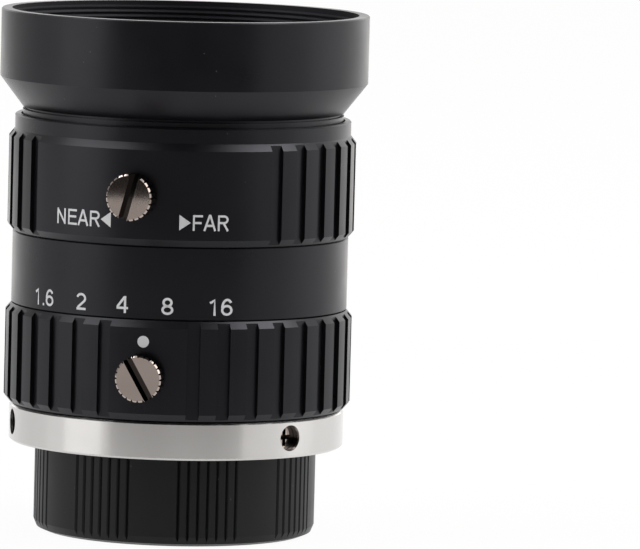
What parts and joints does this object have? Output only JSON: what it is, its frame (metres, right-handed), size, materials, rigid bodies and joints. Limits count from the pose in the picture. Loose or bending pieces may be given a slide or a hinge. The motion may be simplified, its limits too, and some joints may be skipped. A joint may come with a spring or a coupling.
{
  "type": "c-mount machine vision lens",
  "caption": "Fixed focal length C-mount machine vision lens with knurled focus and iris rings, locking thumbscrews, leaf iris, filter-thread hood and rear cap.",
  "frame": {"origin": "centre of the rear cap's flat underside, on the optical axis", "axes": "+Z along the optical axis towards the front of the lens; -Y through the side that carries the markings"},
  "size_m": [0.0372, 0.0385, 0.0527],
  "materials": {
    "black_plastic": "moulded, slightly glossy",
    "bright_metal": "satin, finely turned",
    "nickel": "nickel plated",
    "black_anodised": "black satin anodised",
    "steel": "ground",
    "blackened_steel": "blackened",
    "coated_glass": "polished and coated"
  },
  "bodies": {
    "lens_body": {"main_barrel": "black_anodised", "mount_ring": "bright_metal", "mount_set_screws": "nickel", "focus_retainer": "black_anodised", "focus_key_screw": "steel"},
    "rear_cap": {"rear_cap": "black_plastic"},
    "iris_ring": {"iris_ring": "black_anodised", "iris_drive_peg": "steel"},
    "iris_lock": {"iris_lock_screw": "nickel"},
    "focus_ring": {"focus_ring": "black_anodised"},
    "focus_lock": {"focus_lock_screw": "nickel"},
    "lens_barrel": {"lens_tube": "black_anodised", "front_cell": "black_anodised", "front_barrel": "black_anodised", "front_hood": "black_anodised", "front_retaining_ring": "black_anodised", "front_element": "coated_glass", "second_element": "coated_glass", "third_element": "coated_glass", "fourth_element": "coated_glass", "fifth_element": "coated_glass", "front_spacer": "black_anodised", "rear_spacer": "black_anodised", "rear_retaining_ring": "black_anodised"},
    "iris_cam": {"iris_cam_plate": "steel"},
    "iris_blade_1": {"iris_blade_1": "blackened_steel"},
    "iris_blade_2": {"iris_blade_2": "blackened_steel"},
    "iris_blade_3": {"iris_blade_3": "blackened_steel"},
    "iris_blade_4": {"iris_blade_4": "blackened_steel"},
    "iris_blade_5": {"iris_blade_5": "blackened_steel"}
  },
  "joints": [
    {"name": "rear_cap_pull", "type": "slide", "parent": "lens_body", "child": "rear_cap", "axis": [0, 0, -1], "range_m": [0, 0.012]},
    {"name": "focus_turn", "type": "hinge", "parent": "lens_body", "child": "focus_ring", "pos_m": [0, 0, 0.0362], "axis": [0, 0, 1], "range_deg": [-85.1, 29.1]},
    {"name": "focus_travel", "type": "slide", "parent": "lens_body", "child": "lens_barrel", "axis": [0, 0, 1], "range_m": [-0.00026, 0.00076]},
    {"name": "iris_turn", "type": "hinge", "parent": "lens_body", "child": "iris_ring", "pos_m": [0, 0, 0.018], "axis": [0, 0, 1], "range_deg": [-41.3, 26.4]},
    {"name": "iris_lock_turn", "type": "hinge", "parent": "iris_ring", "child": "iris_lock", "pos_m": [-0.00363, -0.01814, 0.01735], "axis": [-0.1959, -0.9806, 0], "range_deg": [0, 360]},
    {"name": "focus_lock_turn", "type": "hinge", "parent": "focus_ring", "child": "focus_lock", "pos_m": [-0.00488, -0.01784, 0.0353], "axis": [-0.2639, -0.9646, 0], "range_deg": [0, 360]},
    {"name": "iris_cam_turn", "type": "hinge", "parent": "lens_barrel", "child": "iris_cam", "pos_m": [0, 0, 0.01925], "axis": [0, 0, 1], "range_deg": [-41.3, 26.4]},
    {"name": "iris_blade_1_turn", "type": "hinge", "parent": "lens_barrel", "child": "iris_blade_1", "pos_m": [0.0086, 0, 0.0181], "axis": [0, 0, 1], "range_deg": [-15.14, 9.68]},
    {"name": "iris_blade_2_turn", "type": "hinge", "parent": "lens_barrel", "child": "iris_blade_2", "pos_m": [0.00266, 0.00818, 0.0181], "axis": [0, 0, 1], "range_deg": [-15.14, 9.68]},
    {"name": "iris_blade_3_turn", "type": "hinge", "parent": "lens_barrel", "child": "iris_blade_3", "pos_m": [-0.00696, 0.00505, 0.0181], "axis": [0, 0, 1], "range_deg": [-15.14, 9.68]},
    {"name": "iris_blade_4_turn", "type": "hinge", "parent": "lens_barrel", "child": "iris_blade_4", "pos_m": [-0.00696, -0.00505, 0.0181], "axis": [0, 0, 1], "range_deg": [-15.14, 9.68]},
    {"name": "iris_blade_5_turn", "type": "hinge", "parent": "lens_barrel", "child": "iris_blade_5", "pos_m": [0.00266, -0.00818, 0.0181], "axis": [0, 0, 1], "range_deg": [-15.14, 9.68]}
  ],
  "couplings": [
    {"joint": "focus_turn", "follows": "focus_travel", "rad_per_m": -1963.5},
    {"joint": "iris_cam_turn", "follows": "iris_turn", "ratio": 1},
    {"joint": "iris_blade_1_turn", "follows": "iris_turn", "ratio": 0.36632},
    {"joint": "iris_blade_2_turn", "follows": "iris_turn", "ratio": 0.36632},
    {"joint": "iris_blade_3_turn", "follows": "iris_turn", "ratio": 0.36632},
    {"joint": "iris_blade_4_turn", "follows": "iris_turn", "ratio": 0.36632},
    {"joint": "iris_blade_5_turn", "follows": "iris_turn", "ratio": 0.36632}
  ]
}
